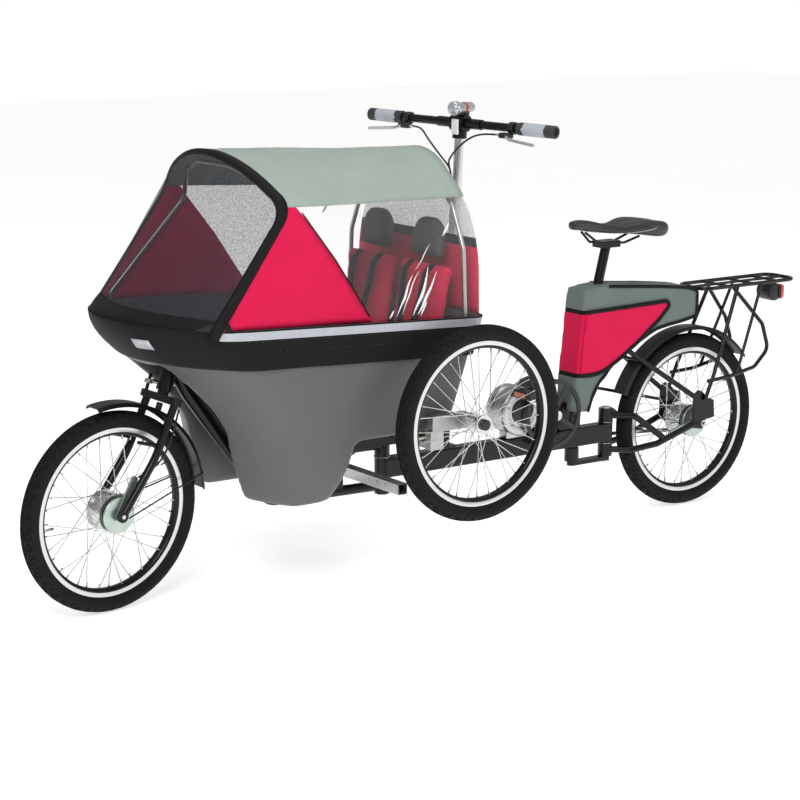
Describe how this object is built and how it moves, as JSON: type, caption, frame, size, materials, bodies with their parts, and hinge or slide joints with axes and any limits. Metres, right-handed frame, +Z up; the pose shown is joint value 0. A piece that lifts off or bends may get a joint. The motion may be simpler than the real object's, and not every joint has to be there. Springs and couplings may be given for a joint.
{
  "type": "electric cargo bike",
  "caption": "Electric cargo bike with a boat-shaped child tub under a fabric canopy, tie-rod steering, chain drive, frame bag and rear rack.",
  "frame": {"origin": "the rider's place, on top of the saddle", "axes": "+X towards the rear of the bike, +Y to the rider's right, +Z up"},
  "size_m": [2.4948, 0.7626, 1.1929],
  "materials": {
    "tyre": "satin",
    "rim_alloy": "satin",
    "hub_alloy": "brushed",
    "frame_paint": "satin",
    "bright_alloy": "brushed",
    "bright_steel": "brushed",
    "column_chrome": "polished",
    "chain_steel": "oiled",
    "black_plastic": "matte",
    "black_rubber": "matte",
    "tub_shell": "satin",
    "skirt_fabric": "woven",
    "roof_fabric": "woven",
    "crimson_fabric": "woven",
    "clear_vinyl": "glossy",
    "mesh_fabric": "open mesh",
    "seat_fabric": "woven",
    "headrest_fabric": "woven",
    "bag_fabric": "woven",
    "saddle_cover": "satin",
    "light_body": "glossy",
    "tail_light": "glossy"
  },
  "bodies": {
    "frame": {"front_frame": "frame_paint", "main_beam": "frame_paint", "seat_mast": "frame_paint", "rear_frame": "frame_paint", "seat_stays": "frame_paint", "pivot_pins": "bright_steel", "fold_link": "frame_paint", "axle_crossbar": "bright_alloy", "tub_rails": "frame_paint", "wheel_carrier": "bright_alloy", "drive_motor": "bright_alloy", "chain": "chain_steel", "column_bearing": "frame_paint", "seat_post": "frame_paint", "seat_clamp": "bright_steel", "saddle": "saddle_cover", "frame_bag": "bag_fabric", "rear_rack": "frame_paint", "tail_light": "tail_light", "rear_mudguard": "black_plastic", "rear_brake": "hub_alloy", "tub": "tub_shell", "skirt": "skirt_fabric", "canopy_roof": "roof_fabric", "canopy_side_panels": "crimson_fabric", "side_windows": "clear_vinyl", "front_mesh": "mesh_fabric", "rear_window": "clear_vinyl", "canopy_bows": "bright_alloy", "seat_cushions": "seat_fabric", "seat_backs": "seat_fabric", "headrests": "headrest_fabric"},
    "fork": {"fork": "frame_paint", "front_mudguard": "black_plastic", "front_brake": "hub_alloy", "fork_cable": "black_rubber"},
    "front_wheel": {"front_tyre": "tyre", "front_rim": "rim_alloy", "front_hub": "hub_alloy"},
    "rear_wheel": {"rear_tyre": "tyre", "rear_rim": "rim_alloy", "rear_hub": "hub_alloy"},
    "left_wheel": {"left_tyre": "tyre", "left_rim": "rim_alloy", "left_hub": "hub_alloy"},
    "right_wheel": {"right_tyre": "tyre", "right_rim": "rim_alloy", "right_hub": "hub_alloy"},
    "crank": {"crankset": "bright_alloy"},
    "left_pedal": {"pedal_left": "black_plastic"},
    "right_pedal": {"pedal_right": "black_plastic"},
    "column": {"steering_column": "column_chrome", "handlebar": "frame_paint", "grips": "black_rubber", "brake_levers": "black_plastic", "headlight": "light_body", "bar_cables": "black_rubber"},
    "tie_rod": {"tie_rod": "bright_steel"}
  },
  "joints": [
    {"name": "fork_steering", "type": "hinge", "parent": "frame", "child": "fork", "pos_m": [-1.437, 0, -0.342], "axis": [0.3338, 0, 0.9426], "range_deg": [-42.6, 29.4]},
    {"name": "bar_steering", "type": "hinge", "parent": "frame", "child": "column", "pos_m": [-0.581, 0, -0.565], "axis": [0.0558, 0, 0.9984], "range_deg": [-42.6, 29.4]},
    {"name": "tie_rod_eye", "type": "hinge", "parent": "column", "child": "tie_rod", "pos_m": [-0.58427, 0.06556, -0.4876], "axis": [0.0558, 0, 0.9984], "range_deg": [-29.4, 42.6]},
    {"name": "front_wheel_spin", "type": "hinge", "parent": "fork", "child": "front_wheel", "pos_m": [-1.58366, -0.00634, -0.59212], "axis": [-0.1083, 0.9934, 0.0384], "continuous": true},
    {"name": "rear_wheel_spin", "type": "hinge", "parent": "frame", "child": "rear_wheel", "pos_m": [0.285, 0, -0.592], "axis": [0, 1, 0], "continuous": true},
    {"name": "left_wheel_spin", "type": "hinge", "parent": "frame", "child": "left_wheel", "pos_m": [-0.731, -0.35, -0.417], "axis": [0, 1, 0], "continuous": true},
    {"name": "right_wheel_spin", "type": "hinge", "parent": "frame", "child": "right_wheel", "pos_m": [-0.731, 0.35, -0.417], "axis": [0, 1, 0], "continuous": true},
    {"name": "crank_spin", "type": "hinge", "parent": "frame", "child": "crank", "pos_m": [-0.245, 0, -0.507], "axis": [0, 1, 0], "continuous": true},
    {"name": "left_pedal_spin", "type": "hinge", "parent": "crank", "child": "left_pedal", "pos_m": [-0.38493, -0.066, -0.41956], "axis": [0, 1, 0], "continuous": true},
    {"name": "right_pedal_spin", "type": "hinge", "parent": "crank", "child": "right_pedal", "pos_m": [-0.10507, 0.066, -0.59444], "axis": [0, 1, 0], "continuous": true}
  ],
  "couplings": [
    {"joint": "bar_steering", "follows": "fork_steering", "ratio": 1},
    {"joint": "tie_rod_eye", "follows": "fork_steering", "ratio": -1}
  ]
}
